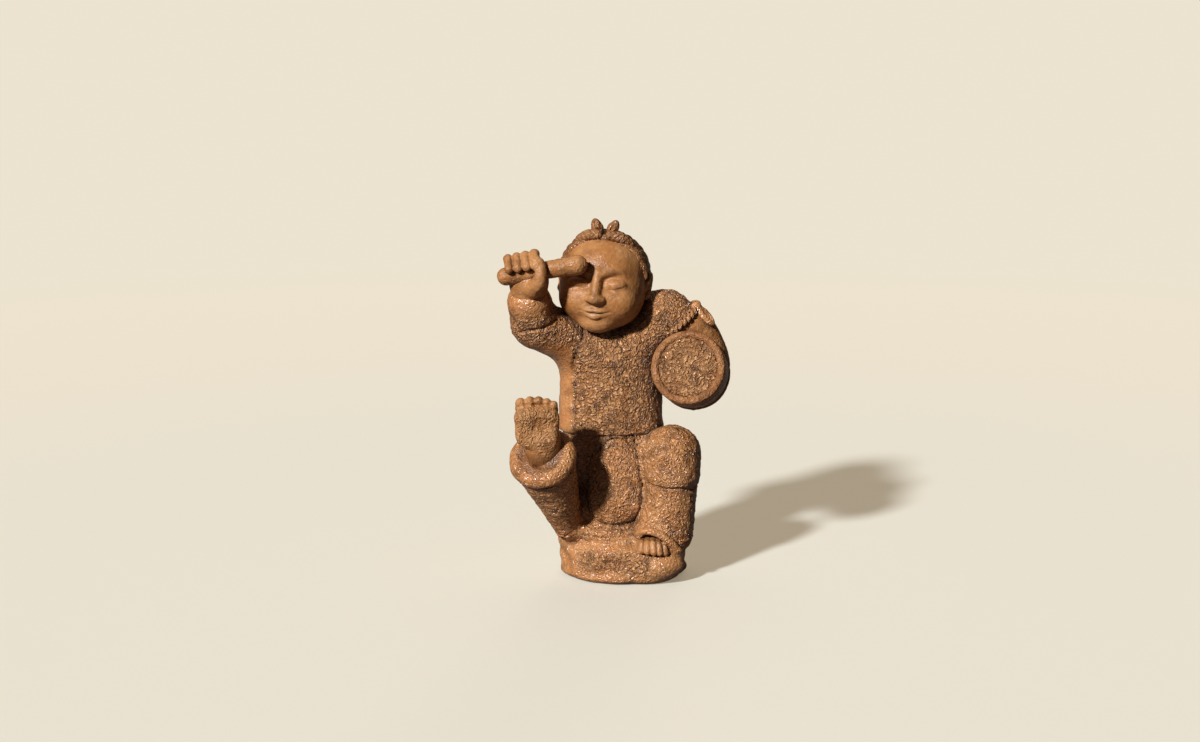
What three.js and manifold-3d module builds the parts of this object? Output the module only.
// A seated folk drummer in brown fired clay, hand built from separately formed pieces that are
// luted together with slip. Millimetres, +Z up. The figure faces -Y and its own left is +X.
// The origin is on the underside of the base, where the figurine stands.
import * as THREE from 'three';
import { mergeVertices } from 'three/addons/utils/BufferGeometryUtils.js';
import Module from 'manifold-3d';

const wasm = await Module();
wasm.setup();

// Clay and its joints
const JOINT_GAP = 0.3;

// Base and body
const BASE_WIDTH = 70;
const BASE_DEPTH = 62;
const BASE_HEIGHT = 22;
const BASE_LUMP_HEIGHT = 0.9;
const BASE_LUMP_COUNT = 11;
const BASE_LUMP_LEAN = 5;
const BODY_WIDTH = 57;
const BODY_DEPTH = 42;
const BODY_ASIDE = -7;
const BODY_BACK = 3;
const HIPS_HEIGHT = 58;
const SEAT_RADIUS = 14.5;
const SEAT_SPACING = 25;
const SEAT_SINK = 9.5;
const SEAT_RISE = 15;
const FOLD_RADIUS = 3.6;
const FOLD_LEAN = 1.8;
const TORSO_HEIGHT = 62;
const APRON_WIDTH = 29;
const APRON_DEPTH = 15;
const APRON_DROP = 32;
const APRON_ASIDE = 2;
const APRON_STAND_OUT = 1.6;
const APRON_LEAN = 0.22;
const APRON_BELOW_WAIST = 6;

// Head, turned and tilted on its neck plug
const SKULL_WIDTH = 47;
const SKULL_DEPTH = 48;
const SKULL_HEIGHT = 45;
const SKULL_BACK = 2;
const SKULL_RISE = 4;
const JAW_WIDTH = 46;
const JAW_DEPTH = 40;
const JAW_HEIGHT = 36;
const JAW_FORWARD = 4;
const JAW_DROP = 8;
const HEAD_RISE = 22;
const HEAD_FORWARD = 9;
const HEAD_ASIDE = -4;
const HEAD_TURN_DEG = -10;
const HEAD_TILT_DEG = 4;
const NOSE_RADIUS = 3.4;
const NOSE_LENGTH = 9;
const NOSE_DROP = 5;
const MOUTH_WIDTH = 12;
const MOUTH_DROP = 13;
const LIP_RADIUS = 1.8;
const CHIN_WIDTH = 20;
const CHIN_DEPTH = 16;
const CHIN_HEIGHT = 13;
const EAR_HEIGHT = 14;
const EAR_DEPTH = 9.2;
const EAR_THICKNESS = 6;
const EAR_BACK = 3;
const LOBE_RADIUS = 2.8;
const NECK_RADIUS = 10;
const NECK_PLUG_DEPTH = 9;
const NECK_FORWARD = 2;
const HAIR_THICKNESS = 1.8;
const HAIRLINE_FORWARD = 12.5;
const HAIRLINE_RISE = 21.3;
const HAIRLINE_SLOPE_DEG = -65;
const TUFT_RADIUS = 3;
const TUFT_HEIGHT = 9.2;
const TUFT_SPACING = 5;
const TUFT_FORWARD = 6.5;
const BRAID_RADIUS = 2.9;
const BRAID_LENGTH = 10.5;
const BRAID_START = 3.4;
const BRAID_FORWARD = 8.8;

// Right arm with the raised stick
const SHOULDER_INSET = 11;
const SHOULDER_DROP = 12;
const SHOULDER_FORWARD = 5;
const RIGHT_SHOULDER_RADIUS = 14.5;
const RIGHT_UPPER_ARM_LENGTH = 29;
const RIGHT_ELBOW_RADIUS = 13.4;
const RIGHT_FOREARM_LENGTH = 15;
const RIGHT_SLEEVE_END_RADIUS = 12;
const RIGHT_HAND_REACH = 19.5;
const PALM_RADIUS = 8.5;
const WRIST_RADIUS = 9.6;
const FINGER_RADIUS = 2.6;
const FINGER_PITCH = 4.7;
const FINGER_COUNT = 4;
const THUMB_RADIUS = 3.1;
const STICK_RADIUS = 5.1;
const STICK_LENGTH = 38.5;
const STICK_BEHIND_FIST = 9.5;

// Drum, let into the left flank
const DRUM_RADIUS = 19.2;
const DRUM_BELLY = 0.9;
const DRUM_DEPTH = 22;
const DRUM_BITE = 4;
const DRUM_FORWARD = 14;
const DRUM_DROP = 26.5;
const HOOP_WIDTH = 4.2;
const HOOP_HEIGHT = 3.6;
const SKIN_THICKNESS = 2;

// Left arm round the drum
const LEFT_SHOULDER_DROP = 9;
const LEFT_SHOULDER_FORWARD = 2;
const LEFT_SHOULDER_RADIUS = 14;
const LEFT_UPPER_ARM_RADIUS = 13.6;
const LEFT_UPPER_ARM_LENGTH = 17;
const LEFT_BEND_LENGTH = 14.4;
const LEFT_BEND_RADIUS = 12.1;
const LEFT_ELBOW_LENGTH = 11.5;
const LEFT_ELBOW_RADIUS = 10.7;
const LEFT_FOREARM_RADIUS = 8.8;
const LEFT_WRIST_RADIUS = 7;
const LEFT_PALM_RADIUS = 6.4;
const LEFT_FINGER_RADIUS = 3.2;
const LEFT_FINGER_LENGTH = 12;
const FOREARM_BEHIND = 13;
const FOREARM_BITE = 6.8;
const WRIST_BEHIND = 14;
const WRIST_BITE = 11.4;
const WRIST_DROP = 13.1;
const PALM_BEHIND = 17;
const PALM_ASIDE = 3.3;
const PALM_DROP = 17.1;
const CORD_RADIUS = 2;
const CORD_SINK = 0.8;
const CORD_REACH = 7.2;
const KNOT_RADIUS = 3.4;
const KNOT_TAIL_LENGTH = 11;

// Right leg, raised with the sole forward
const RIGHT_KNEE_RADIUS = 8;
const RIGHT_KNEE_INSET = 5;
const RIGHT_KNEE_FORWARD = 16;
const RIGHT_KNEE_RISE = 7.5;
const RIGHT_LEG_LENGTH = 50;
const RIGHT_LEG_END_RADIUS = 17;
const RIGHT_CUFF_RADIUS = 13.4;
const RIGHT_CUFF_ROLL = 5;
const RIGHT_CUFF_BEYOND = 5;
const RIGHT_SOCKET_DEPTH = 12;
const ANKLE_RADIUS = 8;
const ANKLE_SINK = 5.2;
const RIGHT_FOOT_REACH = 22;
const RIGHT_FOOT_LENGTH = 33.5;
const RIGHT_FOOT_WIDTH = 24.5;
const RIGHT_FOOT_THICKNESS = 13;
const TOE_RADIUS = 2.6;
const TOE_COUNT = 5;

// Left leg, bent with the foot flat on the base
const LEFT_HIP_ASIDE = 21;
const LEFT_HIP_BACK = 4;
const LEFT_HIP_DROP = 24;
const THIGH_RADIUS = 15.5;
const KNEE_RADIUS = 15.6;
const KNEE_OUT = 5;
const KNEE_FORWARD = 17;
const KNEE_BELOW_WAIST = 10;
const KNEE_DROP = 9.5;
const KNEE_LEAN = 2.5;
const SHIN_RADIUS = 15.4;
const SHIN_END_RADIUS = 15.4;
const SHIN_TUCK = 4;
const SHIN_LEAN = 3;
const SHIN_RISE = 6;
const HEM_RADIUS = 1.7;
const HEM_RISE = 11;
const LEFT_FOOT_LENGTH = 26;
const LEFT_FOOT_WIDTH = 16.5;
const LEFT_FOOT_THICKNESS = 10;
const LEFT_FOOT_SOLE = 15.5;
const LEFT_FOOT_FORWARD = 7.5;
const LEFT_FOOT_ASIDE = 6;

// Mesh fineness
const LIMB_SIDES = 12;
const FINE_LIMB_SIDES = 7;
const FINE_LIMB_RADIUS = 5;
const CAP_STEPS = 3;
const FINE_CAP_STEPS = 2;
const BALL_SIDES = 12;
const BALL_RINGS = 8;
const OVAL_SIDES = 20;
const OVAL_STEPS = 7;
const BASE_SIDES = 44;
const BASE_STEPS = 10;
const RING_SIDES = 6;
const RING_STEPS = 20;
const MERGE_DISTANCE = 1e-4;

const UP = vec(0, 0, 1);
const clay = (color, roughness) => new THREE.MeshStandardMaterial({ color, roughness, metalness: 0 });
const MARKED_CLAY = clay(0xa66a3f, 0.55);
const SMOOTH_CLAY = clay(0xad7140, 0.45);
const DRUM_CLAY = clay(0xb07846, 0.55);
const HAIR_CLAY = clay(0x8f5830, 0.55);

function vec(x, y, z) {
  return new THREE.Vector3(x, y, z);
}

// The point that lies a length away from a start, along a direction of any size.
function along(start, direction, length) {
  return start.clone().addScaledVector(direction.clone().normalize(), length);
}

// A closed three.js geometry as a solid, without the slivers that a pole leaves.
function toSolid(geometry) {
  const bare = geometry.clone();
  bare.deleteAttribute('normal');
  bare.deleteAttribute('uv');
  const merged = mergeVertices(bare, MERGE_DISTANCE);
  const corners = merged.index.array;
  const kept = [];
  for (let i = 0; i < corners.length; i += 3) {
    const [a, b, c] = [corners[i], corners[i + 1], corners[i + 2]];
    if (a !== b && b !== c && c !== a) kept.push(a, b, c);
  }
  return new wasm.Manifold(new wasm.Mesh({
    numProp: 3,
    vertProperties: new Float32Array(merged.attributes.position.array),
    triVerts: new Uint32Array(kept),
  }));
}

function join(...solids) {
  return solids.reduce((whole, solid) => whole.add(solid));
}

// An egg of clay with its own half sizes along X, Y and Z, turned by an optional matrix.
function ball(centre, radii, grow, frame) {
  const geometry = new THREE.SphereGeometry(1, BALL_SIDES, BALL_RINGS);
  geometry.rotateX(Math.PI / 2);
  geometry.scale(radii.x + grow, radii.y + grow, radii.z + grow);
  geometry.translate(centre.x, centre.y, centre.z);
  if (frame) geometry.applyMatrix4(frame);
  return toSolid(geometry);
}

// A rolled length of clay with round ends, from one radius to another.
function roll(from, to, fromRadius, toRadius, grow, frame) {
  const axis = to.clone().sub(from);
  const length = axis.length();
  const [first, last] = [fromRadius + grow, toRadius + grow];
  const slope = Math.asin((first - last) / length);
  const fine = fromRadius < FINE_LIMB_RADIUS;
  const steps = fine ? FINE_CAP_STEPS : CAP_STEPS;
  const profile = [];
  for (let step = 0; step <= steps; step += 1) {
    const angle = -Math.PI / 2 + (step / steps) * (Math.PI / 2 + slope);
    profile.push(new THREE.Vector2(first * Math.cos(angle), first * Math.sin(angle)));
  }
  for (let step = 0; step <= steps; step += 1) {
    const angle = slope + (step / steps) * (Math.PI / 2 - slope);
    profile.push(new THREE.Vector2(last * Math.cos(angle), length + last * Math.sin(angle)));
  }
  profile[0].x = 0;
  profile[profile.length - 1].x = 0;
  const geometry = new THREE.LatheGeometry(profile, fine ? FINE_LIMB_SIDES : LIMB_SIDES);
  const turn = new THREE.Quaternion().setFromUnitVectors(vec(0, 1, 0), axis.normalize());
  geometry.applyQuaternion(turn);
  geometry.translate(from.x, from.y, from.z);
  if (frame) geometry.applyMatrix4(frame);
  return toSolid(geometry);
}

// Presses a form flat about a point, by one factor for each of X, Y and Z.
function flattened(point, factors) {
  const press = new THREE.Matrix4().makeTranslation(point);
  press.scale(factors);
  return press.multiply(new THREE.Matrix4().makeTranslation(point.clone().negate()));
}

// Rolls joined end to end through a list of [point, radius] stations.
function limb(stations, grow, frame) {
  const rolls = stations.slice(1).map(([point, radius], index) => {
    const [before, beforeRadius] = stations[index];
    return roll(before, point, beforeRadius, radius, grow, frame);
  });
  return join(...rolls);
}

// A round form with a radius of 1 and a height of 1, from a side profile of [share of the radius,
// share of the height] that is closed by a flat foot and a flat or domed crown.
function lathed(profile, sides, steps) {
  const bends = profile.map(([share, level]) => new THREE.Vector2(share, level));
  const side = new THREE.SplineCurve(bends).getPoints(steps);
  side.forEach((point) => point.clamp(new THREE.Vector2(0, 0), new THREE.Vector2(2, 1)));
  const points = [new THREE.Vector2(0, 0), ...side, new THREE.Vector2(0, 1)];
  const geometry = new THREE.LatheGeometry(points, sides);
  geometry.rotateX(Math.PI / 2);
  return geometry;
}

// An oval form built up by hand on a foot point, from the same kind of profile.
function oval(profile, width, depth, height, foot, grow) {
  const geometry = lathed(profile, OVAL_SIDES, OVAL_STEPS);
  geometry.scale(width / 2 + grow, depth / 2 + grow, height + 2 * grow);
  geometry.translate(foot.x, foot.y, foot.z - grow);
  return toSolid(geometry);
}

// A ring of clay in a plane square to its axis.
function ring(centre, axis, radius, thickness, grow) {
  const geometry = new THREE.TorusGeometry(radius, thickness + grow, RING_SIDES, RING_STEPS);
  geometry.applyQuaternion(new THREE.Quaternion().setFromUnitVectors(UP, axis.clone().normalize()));
  geometry.translate(centre.x, centre.y, centre.z);
  return toSolid(geometry);
}

function toGeometry(solid) {
  const made = solid.getMesh();
  const geometry = new THREE.BufferGeometry();
  geometry.setAttribute('position', new THREE.BufferAttribute(new Float32Array(made.vertProperties), 3));
  geometry.setIndex(new THREE.BufferAttribute(new Uint32Array(made.triVerts), 1));
  return geometry;
}

// What is left of a piece once its neighbours, with the slip joint round them, are cut away.
// Crumbs that a cut leaves beside the main body are dropped.
function luted(form, ...neighbours) {
  const left = neighbours.reduce((piece, neighbour) => piece.subtract(neighbour(JOINT_GAP)), form(0));
  const bodies = toSolid(toGeometry(left)).decompose();
  return bodies.sort((one, other) => other.volume() - one.volume())[0];
}

const figure = new THREE.Group();

// Puts a solid into the scene as a named mesh, inside a group that may be turned.
function place(name, solid, material, group = figure) {
  const geometry = toGeometry(solid);
  group.updateMatrixWorld(true);
  geometry.applyMatrix4(group.matrixWorld.clone().invert());
  geometry.computeVertexNormals();
  const mesh = new THREE.Mesh(geometry, material);
  mesh.name = name;
  group.add(mesh);
}

// Levels and anchors that the pieces share
const SEAT_Z = BASE_HEIGHT + JOINT_GAP;
const WAIST_Z = SEAT_Z + HIPS_HEIGHT;
const CHEST_Z = WAIST_Z + JOINT_GAP;
const NECK_Z = CHEST_Z + TORSO_HEIGHT;
const SIDE_X = BODY_WIDTH / 2 - SHOULDER_INSET;
const body = (x, y, z) => vec(BODY_ASIDE + x, BODY_BACK + y, z);
const spread = (count, index) => index / (count - 1) - 0.5;

// Base and body
// How far the hand-pressed side of the base stands out or in, at an angle and a share of its height.
const baseLump = (angle, level) => BASE_LUMP_HEIGHT * Math.sin(Math.PI * level) * (
  Math.cos(BASE_LUMP_COUNT * angle + BASE_LUMP_LEAN * level)
  + 0.7 * Math.cos((BASE_LUMP_COUNT - 4) * angle - 1.4 * BASE_LUMP_LEAN * level));
const baseForm = (grow) => {
  const geometry = lathed(
    [[0.95, 0], [1, 0.12], [0.98, 0.35], [0.97, 0.65], [0.9, 0.93], [0.72, 1]], BASE_SIDES, BASE_STEPS);
  const corners = geometry.attributes.position;
  for (let corner = 0; corner < corners.count; corner += 1) {
    const [x, y, level] = [corners.getX(corner), corners.getY(corner), corners.getZ(corner)];
    const wide = Math.hypot(x, y);
    const press = 1 + (wide * baseLump(Math.atan2(y, x), level)) / (BASE_DEPTH / 2);
    corners.setXY(corner, x * press, y * press);
  }
  geometry.scale(BASE_WIDTH / 2 + grow, BASE_DEPTH / 2 + grow, BASE_HEIGHT + 2 * grow);
  geometry.translate(0, 0, -grow);
  return toSolid(geometry);
};
const seatForm = (side, grow) => ball(
  body(side * SEAT_SPACING / 2, BODY_DEPTH / 2 - SEAT_SINK, SEAT_Z + SEAT_RISE),
  vec(SEAT_RADIUS, SEAT_RADIUS * 0.85, SEAT_RADIUS), grow);
// The roll of cloth that the sitter pushes up in front, where the seat meets the base.
const foldForm = (grow) => limb([
  [body(-0.28 * BODY_WIDTH, -0.476 * BODY_DEPTH, SEAT_Z + FOLD_RADIUS + FOLD_LEAN), FOLD_RADIUS],
  [body(-0.02 * BODY_WIDTH, -0.562 * BODY_DEPTH, SEAT_Z + FOLD_RADIUS), FOLD_RADIUS],
  [body(0.25 * BODY_WIDTH, -0.5 * BODY_DEPTH, SEAT_Z + FOLD_RADIUS), FOLD_RADIUS],
], grow);
const hipsForm = (grow) => join(
  oval([[0.98, 0], [1.05, 0.25], [0.99, 0.7], [0.96, 1]],
    BODY_WIDTH, BODY_DEPTH, HIPS_HEIGHT, body(0, 0, SEAT_Z), grow),
  seatForm(-1, grow),
  seatForm(1, grow),
  foldForm(grow));
const torsoForm = (grow) => oval(
  [[0.98, 0], [1.01, 0.1], [1, 0.45], [0.98, 0.7], [0.8, 0.9], [0.4, 0.985]],
  BODY_WIDTH, BODY_DEPTH, TORSO_HEIGHT, body(0, 0, CHEST_Z), grow);

// Head: skull, jaw, nose, lips and chin in the head's own frame, with a neck plug below
const headGroup = new THREE.Group();
headGroup.position.copy(body(HEAD_ASIDE, -HEAD_FORWARD, NECK_Z + HEAD_RISE));
headGroup.rotation.set(0, THREE.MathUtils.degToRad(HEAD_TILT_DEG), THREE.MathUtils.degToRad(HEAD_TURN_DEG));
figure.add(headGroup);
headGroup.updateMatrixWorld(true);
const headFrame = headGroup.matrixWorld;
const SKULL = vec(SKULL_WIDTH / 2, SKULL_DEPTH / 2, SKULL_HEIGHT / 2);
const JAW = vec(JAW_WIDTH / 2, JAW_DEPTH / 2, JAW_HEIGHT / 2);
const CHIN = vec(CHIN_WIDTH / 2, CHIN_DEPTH / 2, CHIN_HEIGHT / 2);
const SKULL_CENTRE = vec(0, SKULL_BACK, SKULL_RISE);
const JAW_CENTRE = vec(0, -JAW_FORWARD, -JAW_DROP);
const faceFront = JAW_CENTRE.y - JAW.y;
const jawBottom = JAW_CENTRE.z - JAW.z;

const neckForm = (grow) => roll(
  body(HEAD_ASIDE, -NECK_FORWARD, NECK_Z + NECK_RADIUS),
  body(HEAD_ASIDE, -NECK_FORWARD, NECK_Z + NECK_RADIUS - NECK_PLUG_DEPTH),
  NECK_RADIUS, NECK_RADIUS, grow);
const noseForm = (grow) => roll(
  vec(0, faceFront + NOSE_RADIUS, NOSE_LENGTH - NOSE_DROP),
  vec(0, faceFront - NOSE_RADIUS * 0.3, -NOSE_DROP),
  NOSE_RADIUS * 0.6, NOSE_RADIUS, grow, headFrame);
const lipsForm = (grow) => roll(
  vec(-MOUTH_WIDTH / 2, faceFront + LIP_RADIUS * 1.4, -MOUTH_DROP),
  vec(MOUTH_WIDTH / 2, faceFront + LIP_RADIUS * 1.4, -MOUTH_DROP),
  LIP_RADIUS, LIP_RADIUS, grow, headFrame);
const skullForm = (grow) => join(
  ball(SKULL_CENTRE, SKULL, grow, headFrame),
  ball(JAW_CENTRE, JAW, grow, headFrame),
  noseForm(grow),
  lipsForm(grow),
  ball(vec(0, faceFront + CHIN.y * 1.1, jawBottom + CHIN.z), CHIN, grow, headFrame));
const headForm = (grow) => join(skullForm(grow), neckForm(grow));

// Hair: a clay layer over the skull, cut off along the hairline, with two tufts and two braids
const hairlineCut = () => {
  const reach = 2 * SKULL_DEPTH;
  const geometry = new THREE.BoxGeometry(reach, reach, reach);
  geometry.translate(0, 0, -reach / 2);
  geometry.rotateX(THREE.MathUtils.degToRad(HAIRLINE_SLOPE_DEG));
  geometry.translate(0, SKULL_CENTRE.y - HAIRLINE_FORWARD, SKULL_CENTRE.z + HAIRLINE_RISE);
  geometry.applyMatrix4(headFrame);
  return toSolid(geometry);
};
const hairForm = (grow) => ball(SKULL_CENTRE, SKULL, grow + HAIR_THICKNESS, headFrame);
const onSkull = (x, y) => {
  const [shareX, shareY] = [(x - SKULL_CENTRE.x) / SKULL.x, (y - SKULL_CENTRE.y) / SKULL.y];
  return vec(x, y, SKULL_CENTRE.z + SKULL.z * Math.sqrt(1 - shareX ** 2 - shareY ** 2) + HAIR_THICKNESS);
};
const tuftForm = (side) => (grow) => {
  const foot = onSkull(side * TUFT_SPACING / 2, -TUFT_FORWARD);
  return limb([
    [foot, TUFT_RADIUS * 0.75],
    [along(foot, vec(side * 0.4, -0.1, 1), TUFT_HEIGHT * 0.5), TUFT_RADIUS],
    [along(foot, vec(side * 0.42, -0.1, 1), TUFT_HEIGHT - TUFT_RADIUS * 0.5), TUFT_RADIUS * 0.5],
  ], grow, headFrame);
};
const braidForm = (side) => (grow) => limb([
  [onSkull(side * BRAID_START, -BRAID_FORWARD), BRAID_RADIUS],
  [onSkull(side * (BRAID_START + BRAID_LENGTH * 0.5), -BRAID_FORWARD * 0.9), BRAID_RADIUS],
  [onSkull(side * (BRAID_START + BRAID_LENGTH), -BRAID_FORWARD * 0.63), BRAID_RADIUS * 0.75],
], grow, headFrame);
const earForm = (side) => (grow) => join(
  ball(vec(side * SKULL.x, EAR_BACK, LOBE_RADIUS / 2),
    vec(EAR_THICKNESS / 2, EAR_DEPTH / 2, EAR_HEIGHT / 2 - LOBE_RADIUS / 2), grow, headFrame),
  ball(vec(side * SKULL.x, EAR_BACK - EAR_DEPTH * 0.15, LOBE_RADIUS - EAR_HEIGHT * 0.6),
    vec(LOBE_RADIUS, LOBE_RADIUS, LOBE_RADIUS), grow, headFrame));

// Right arm: shoulder, raised elbow and forearm, and a fist round the stick
const rightShoulder = body(-SIDE_X, -SHOULDER_FORWARD, NECK_Z - SHOULDER_DROP);
const rightElbow = along(rightShoulder, vec(-0.8, -0.42, 0.42), RIGHT_UPPER_ARM_LENGTH);
const rightSleeveEnd = along(rightElbow, vec(-0.2, -0.54, 0.81), RIGHT_FOREARM_LENGTH);
const fist = along(rightSleeveEnd, vec(-0.12, -0.5, 0.86), RIGHT_HAND_REACH);
const stickWay = vec(0.985, 0, 0.17).normalize();
const stickButt = along(fist, stickWay, -STICK_BEHIND_FIST);
const stickTip = along(stickButt, stickWay, STICK_LENGTH);

const rightUpperArmForm = (grow) => roll(
  rightShoulder, rightElbow, RIGHT_SHOULDER_RADIUS, RIGHT_ELBOW_RADIUS, grow);
const rightSleeveForm = (grow) => roll(
  rightElbow, rightSleeveEnd, RIGHT_ELBOW_RADIUS, RIGHT_SLEEVE_END_RADIUS, grow);
const stickForm = (grow) => roll(stickButt, stickTip, STICK_RADIUS, STICK_RADIUS, grow);
const fingerForm = (index, grow) => {
  const middle = along(fist, stickWay, spread(FINGER_COUNT, index) * (FINGER_COUNT - 1) * FINGER_PITCH);
  const wrap = STICK_RADIUS + FINGER_RADIUS * 0.6;
  return limb([
    [middle.clone().add(vec(0, wrap, 0)), FINGER_RADIUS],
    [middle.clone().add(vec(0, 0, wrap)), FINGER_RADIUS],
    [middle.clone().add(vec(0, -wrap, 0)), FINGER_RADIUS * 0.9],
  ], grow);
};
const thumbForm = (grow) => roll(
  along(fist, stickWay, FINGER_PITCH).add(vec(0, -PALM_RADIUS / 2, -PALM_RADIUS)),
  along(fist, stickWay, FINGER_PITCH * 1.6).add(
    vec(0, -STICK_RADIUS - THUMB_RADIUS / 2, THUMB_RADIUS * 0.6)),
  THUMB_RADIUS, THUMB_RADIUS * 0.9, grow);
const rightHandForm = (grow) => join(
  roll(rightSleeveEnd, fist.clone().add(vec(0, PALM_RADIUS * 0.25, -PALM_RADIUS * 0.35)),
    WRIST_RADIUS, PALM_RADIUS, grow),
  thumbForm(grow),
  ...Array.from({ length: FINGER_COUNT }, (_, index) => fingerForm(index, grow)));

// Drum: a barrel with a raised hoop and a sunk skin at each end, leaning out from the left flank
const drumGroup = new THREE.Group();
drumGroup.position.copy(body(BODY_WIDTH / 2 + DRUM_RADIUS - DRUM_BITE, -DRUM_FORWARD, NECK_Z - DRUM_DROP));
drumGroup.quaternion.setFromUnitVectors(UP, vec(-0.18, -0.93, 0.31).normalize());
figure.add(drumGroup);
drumGroup.updateMatrixWorld(true);
const drumFrame = drumGroup.matrixWorld;
const drumCentre = drumGroup.position;
const turned = (profile) => {
  const points = profile.map(([x, y]) => new THREE.Vector2(x, y));
  const geometry = new THREE.LatheGeometry(points, 2 * LIMB_SIDES);
  geometry.rotateX(Math.PI / 2);
  geometry.applyMatrix4(drumFrame);
  return toSolid(geometry);
};
const half = DRUM_DEPTH / 2;
const hoopRadius = DRUM_RADIUS + DRUM_BELLY;
const hoopFoot = half + JOINT_GAP;
const drumBarrelForm = (grow) => turned([
  [0, -half - grow], [DRUM_RADIUS + grow, -half - grow],
  [DRUM_RADIUS + DRUM_BELLY * 0.75 + grow, -half / 2],
  [hoopRadius + grow, 0],
  [DRUM_RADIUS + DRUM_BELLY * 0.75 + grow, half / 2],
  [DRUM_RADIUS + grow, half + grow], [0, half + grow]]);
const hoopSolid = (side) => {
  const [inner, outer] = [hoopRadius - HOOP_WIDTH, hoopRadius];
  const [low, high] = [hoopFoot, hoopFoot + HOOP_HEIGHT];
  const soft = HOOP_WIDTH / 3;
  const section = [[inner, low], [outer, low], [outer, high - soft], [outer - soft, high],
    [inner + soft, high], [inner, high - soft], [inner, low]];
  return turned(side > 0 ? section : section.map(([x, y]) => [x, -y]).reverse());
};
const skinSolid = (side) => {
  const radius = hoopRadius - HOOP_WIDTH - JOINT_GAP;
  const [low, high] = [hoopFoot, hoopFoot + SKIN_THICKNESS];
  return turned(side > 0 ? [[0, low], [radius, low], [radius, high], [0, high]]
    : [[0, -high], [radius, -high], [radius, -low], [0, -low]]);
};
const drumForm = (grow) => turned([
  [0, -hoopFoot - HOOP_HEIGHT - grow], [hoopRadius + grow, -hoopFoot - HOOP_HEIGHT - grow],
  [hoopRadius + grow, hoopFoot + HOOP_HEIGHT + grow], [0, hoopFoot + HOOP_HEIGHT + grow]]);

// Left arm: a hunched shoulder, an elbow outside the drum and a hand behind it
const leftShoulder = body(SIDE_X, -LEFT_SHOULDER_FORWARD, NECK_Z - LEFT_SHOULDER_DROP);
const leftArmTop = along(leftShoulder, vec(0.76, 0, 0.65), LEFT_UPPER_ARM_LENGTH);
const leftBendWay = vec(0.9, 0.03, -0.44);
const leftBend = along(leftArmTop, leftBendWay, LEFT_BEND_LENGTH);
const leftElbow = along(leftBend, vec(0.66, 0.04, -0.75), LEFT_ELBOW_LENGTH);
const leftForearm = drumCentre.clone().add(vec(hoopRadius - FOREARM_BITE, FOREARM_BEHIND, 0));
const leftWrist = drumCentre.clone().add(vec(hoopRadius - WRIST_BITE, WRIST_BEHIND, -WRIST_DROP));
const leftPalm = drumCentre.clone().add(vec(PALM_ASIDE, PALM_BEHIND, -PALM_DROP));
const leftUpperArmForm = (grow) => limb([
  [leftShoulder, LEFT_SHOULDER_RADIUS],
  [leftArmTop, LEFT_UPPER_ARM_RADIUS],
  [leftBend, LEFT_BEND_RADIUS],
], grow);
const leftForearmForm = (grow) => limb([
  [leftElbow, LEFT_ELBOW_RADIUS],
  [leftForearm, LEFT_FOREARM_RADIUS],
  [leftWrist, LEFT_WRIST_RADIUS],
], grow);
const leftHandForm = (grow) => join(
  roll(leftWrist, leftPalm, LEFT_WRIST_RADIUS, LEFT_PALM_RADIUS, grow),
  ...[-1, 0, 1].map((row) => {
    const knuckle = leftPalm.clone().add(
      vec(0, -LEFT_FINGER_RADIUS * 0.6, row * LEFT_FINGER_RADIUS * 1.5));
    return roll(knuckle, along(knuckle, vec(-1, 0, 0.12), LEFT_FINGER_LENGTH),
      LEFT_FINGER_RADIUS, LEFT_FINGER_RADIUS * 0.85, grow);
  }));

// The twisted cord round the left arm, and its knot
const cordCentre = along(leftArmTop, leftBendWay, CORD_REACH);
const cordWay = vec(0.67, 0.04, -0.74);
const cordRadius = (LEFT_UPPER_ARM_RADIUS + LEFT_BEND_RADIUS) / 2 + CORD_RADIUS - CORD_SINK;
const cordForm = (grow) => ring(cordCentre, cordWay, cordRadius, CORD_RADIUS, grow);
const knotFoot = along(cordCentre, vec(0.67, -0.42, 0.61), cordRadius);
const knotForm = (grow) => join(
  ball(knotFoot, vec(KNOT_RADIUS, KNOT_RADIUS, KNOT_RADIUS), grow),
  roll(knotFoot, along(knotFoot, vec(0.66, -0.12, -0.75), KNOT_TAIL_LENGTH),
    KNOT_RADIUS * 0.6, KNOT_RADIUS * 0.8, grow));

// Apron hanging in front of the hips
const apronTop = body(
  APRON_ASIDE, (APRON_DEPTH - BODY_DEPTH) / 2 - APRON_STAND_OUT, WAIST_Z - APRON_BELOW_WAIST);
const apronEnd = along(apronTop, vec(0, -APRON_LEAN, -1), APRON_DROP);
const apronForm = (grow) => roll(apronTop, apronEnd, APRON_WIDTH / 2, APRON_WIDTH / 2, grow,
  flattened(apronTop, vec(1, APRON_DEPTH / APRON_WIDTH, 1)));

// Right leg: from the knee beside the base up and forward to a rolled cuff
const rightKnee = body(RIGHT_KNEE_INSET - BODY_WIDTH / 2, -RIGHT_KNEE_FORWARD, SEAT_Z + RIGHT_KNEE_RISE);
const rightLegWay = vec(-0.235, -0.52, 0.82).normalize();
const rightCuffWay = vec(-0.22, -0.68, 0.7).normalize();
const rightLegEnd = along(rightKnee, rightLegWay, RIGHT_LEG_LENGTH);
const ankleSeat = along(rightLegEnd, rightLegWay, -ANKLE_SINK);
const cuffCentre = along(rightLegEnd, rightCuffWay, RIGHT_CUFF_BEYOND);
const rightLegForm = (grow) => roll(rightKnee, rightLegEnd, RIGHT_KNEE_RADIUS, RIGHT_LEG_END_RADIUS, grow);
const rightCuffForm = (grow) => ring(cuffCentre, rightCuffWay, RIGHT_CUFF_RADIUS, RIGHT_CUFF_ROLL, grow);
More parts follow.
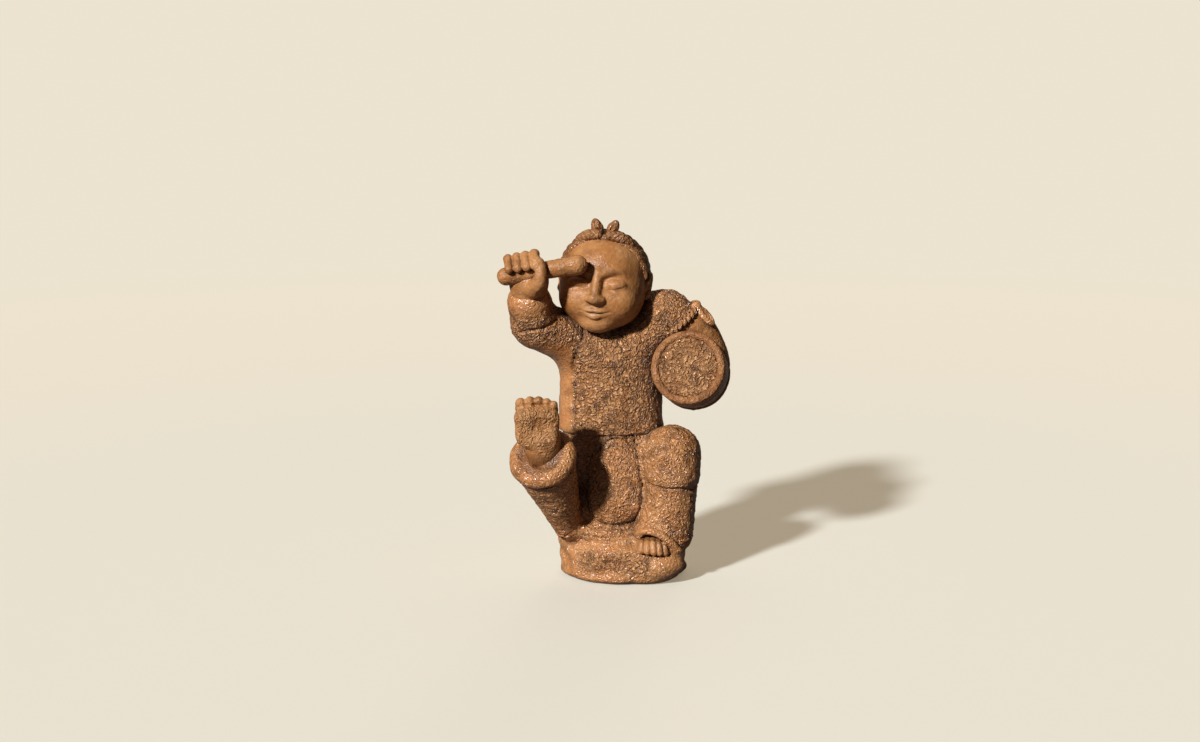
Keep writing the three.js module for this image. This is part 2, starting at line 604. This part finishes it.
const socketForm = (grow) => limb([
  [ankleSeat, ANKLE_RADIUS],
  [along(ankleSeat, rightCuffWay, RIGHT_SOCKET_DEPTH), RIGHT_CUFF_RADIUS - RIGHT_CUFF_ROLL],
  [along(ankleSeat, rightCuffWay, 3 * RIGHT_SOCKET_DEPTH), RIGHT_CUFF_RADIUS],
], grow);

// Right foot: sole forward, toes up, its ankle seated in the trouser leg
const rightHeel = along(ankleSeat, vec(-0.18, -0.7, 0.7), RIGHT_FOOT_REACH);
const rightFootEnd = along(rightHeel, vec(-0.08, 0.06, 1), RIGHT_FOOT_LENGTH - RIGHT_FOOT_THICKNESS);
const footPress = RIGHT_FOOT_THICKNESS / RIGHT_FOOT_WIDTH;
const rightToeForm = (index, grow) => {
  const across = spread(TOE_COUNT, index);
  const rise = RIGHT_FOOT_THICKNESS * (0.4 - 1.2 * across ** 2);
  const toe = rightFootEnd.clone().add(vec(across * (RIGHT_FOOT_WIDTH - 2 * TOE_RADIUS), 0, rise));
  const root = toe.clone().add(vec(0, TOE_RADIUS * 0.6, -TOE_RADIUS));
  return roll(root, toe, TOE_RADIUS, TOE_RADIUS, grow);
};
const rightFootForm = (grow) => join(
  roll(ankleSeat, rightHeel.clone().add(vec(0, ANKLE_RADIUS * 0.4, ANKLE_RADIUS * 0.25)),
    ANKLE_RADIUS, ANKLE_RADIUS, grow),
  roll(rightHeel, rightFootEnd, RIGHT_FOOT_WIDTH * 0.42, RIGHT_FOOT_WIDTH / 2, grow,
    flattened(rightHeel, vec(1, footPress, footPress + 0.2))),
  ...Array.from({ length: TOE_COUNT }, (_, index) => rightToeForm(index, grow)));

// Left leg: thigh and knee over a wide trouser leg, and a foot with its toes showing
const leftHip = body(LEFT_HIP_ASIDE, LEFT_HIP_BACK, WAIST_Z - LEFT_HIP_DROP);
const leftKnee = body(BODY_WIDTH / 2 + KNEE_OUT, -KNEE_FORWARD, WAIST_Z - KNEE_BELOW_WAIST);
const leftKneeLow = leftKnee.clone().add(vec(0, -KNEE_LEAN, -KNEE_DROP));
const leftShinTop = leftKneeLow.clone().add(vec(0, KNEE_LEAN / 2, -SHIN_TUCK));
const leftAnkle = vec(leftKnee.x - SHIN_LEAN, leftShinTop.y, SEAT_Z + SHIN_RISE);
const leftThighForm = (grow) => limb([
  [leftHip, THIGH_RADIUS],
  [leftKnee, KNEE_RADIUS],
  [leftKneeLow, KNEE_RADIUS],
], grow);
const leftShinForm = (grow) => roll(leftShinTop, leftAnkle, SHIN_RADIUS, SHIN_END_RADIUS, grow);
const leftToeBall = vec(leftAnkle.x - LEFT_FOOT_ASIDE, leftAnkle.y - LEFT_FOOT_FORWARD,
  LEFT_FOOT_SOLE + LEFT_FOOT_THICKNESS / 2);
const leftHeel = along(leftToeBall, vec(0.25, 1, 0), LEFT_FOOT_LENGTH - LEFT_FOOT_WIDTH / 2);
const leftToeForm = (index, grow) => {
  const across = spread(TOE_COUNT, index);
  const toe = leftToeBall.clone().add(vec(across * (LEFT_FOOT_WIDTH - TOE_RADIUS),
    -LEFT_FOOT_WIDTH * (0.42 - 0.5 * across ** 2), -TOE_RADIUS * 0.15));
  const root = toe.clone().add(vec(0, TOE_RADIUS * 1.2, TOE_RADIUS * 0.4));
  return roll(root, toe, TOE_RADIUS * 0.8, TOE_RADIUS * 0.8, grow);
};
const leftFootForm = (grow) => join(
  ball(leftToeBall, vec(LEFT_FOOT_WIDTH / 2, LEFT_FOOT_WIDTH * 0.42, LEFT_FOOT_THICKNESS / 2), grow),
  roll(leftHeel, leftToeBall, LEFT_FOOT_THICKNESS / 2, LEFT_FOOT_THICKNESS / 2, grow),
  ...Array.from({ length: TOE_COUNT }, (_, index) => leftToeForm(index, grow)));
const hemPath = () => {
  const reach = LEFT_FOOT_WIDTH / 2 + HEM_RADIUS;
  const bends = [
    [-1.05, 0.4, 0.84], [-0.37, -0.57, 1.08], [0.17, -0.8, 0.89], [0.7, -0.8, 0.52], [1.25, -0.61, 0.05]];
  return new THREE.CatmullRomCurve3(bends.map(([x, y, z]) => leftToeBall.clone().add(
    vec(x * reach, y * reach, z * HEM_RISE))));
};
const hemForm = (grow) => {
  const section = new THREE.Shape();
  section.absarc(0, 0, HEM_RADIUS + grow, 0, 2 * Math.PI, false);
  const geometry = new THREE.ExtrudeGeometry(section, {
    steps: 16, curveSegments: RING_SIDES / 2, extrudePath: hemPath(), bevelEnabled: false,
  });
  return toSolid(geometry);
};

place('base', luted(baseForm, leftFootForm), MARKED_CLAY);
place('hips', hipsForm(0), MARKED_CLAY);
place('torso', luted(torsoForm, neckForm, drumForm), MARKED_CLAY);
place('apron', luted(apronForm, hipsForm, torsoForm, baseForm, leftThighForm, leftShinForm, rightLegForm),
  MARKED_CLAY);

place('head', luted(skullForm, torsoForm).add(neckForm(0)), SMOOTH_CLAY, headGroup);
place('hair_cap', luted(hairForm, headForm, torsoForm, hairlineCut), HAIR_CLAY, headGroup);
for (const [word, side] of [['right', -1], ['left', 1]]) {
  place(`hair_tuft_${word}`, luted(tuftForm(side), hairForm, skullForm), HAIR_CLAY, headGroup);
  place(`hair_braid_${word}`, luted(braidForm(side), hairForm, skullForm, tuftForm(side)),
    HAIR_CLAY, headGroup);
  place(`ear_${word}`, luted(earForm(side), hairForm, skullForm), SMOOTH_CLAY, headGroup);
}

place('right_upper_arm', luted(rightUpperArmForm, torsoForm, headForm, hairForm), MARKED_CLAY);
place('right_sleeve', luted(rightSleeveForm, rightUpperArmForm, torsoForm, headForm, hairForm),
  MARKED_CLAY);
place('right_hand', luted(rightHandForm, rightSleeveForm, stickForm, headForm), SMOOTH_CLAY);
place('drumstick', stickForm(0), SMOOTH_CLAY);

place('drum_barrel', drumBarrelForm(0), DRUM_CLAY, drumGroup);
for (const [word, side] of [['front', 1], ['back', -1]]) {
  place(`drum_hoop_${word}`, hoopSolid(side), DRUM_CLAY, drumGroup);
  place(`drum_skin_${word}`, skinSolid(side), DRUM_CLAY, drumGroup);
}

place('left_upper_arm', luted(leftUpperArmForm, torsoForm, headForm, hairForm, drumForm), MARKED_CLAY);
place('arm_cord', luted(cordForm, leftUpperArmForm, drumForm, torsoForm), MARKED_CLAY);
place('arm_cord_knot', luted(knotForm, leftUpperArmForm, leftForearmForm, cordForm, drumForm), MARKED_CLAY);
place('left_forearm', luted(leftForearmForm, leftUpperArmForm, cordForm, drumForm, torsoForm), SMOOTH_CLAY);
place('left_hand', luted(leftHandForm, leftForearmForm, drumForm, torsoForm, hipsForm, leftThighForm),
  SMOOTH_CLAY);

place('right_trouser_leg',
  luted(rightLegForm, hipsForm, torsoForm, baseForm, rightCuffForm, socketForm, rightFootForm),
  MARKED_CLAY);
place('right_trouser_cuff', luted(rightCuffForm, rightFootForm), MARKED_CLAY);
place('right_foot', rightFootForm(0), SMOOTH_CLAY);

place('left_thigh', luted(leftThighForm, hipsForm, torsoForm, baseForm), MARKED_CLAY);
place('left_shin', luted(leftShinForm, leftThighForm, hipsForm, baseForm, leftFootForm, hemForm),
  MARKED_CLAY);
place('left_trouser_hem', luted(hemForm, leftFootForm, baseForm, hipsForm), MARKED_CLAY);
place('left_foot', luted(leftFootForm, hipsForm), SMOOTH_CLAY);

export default figure;
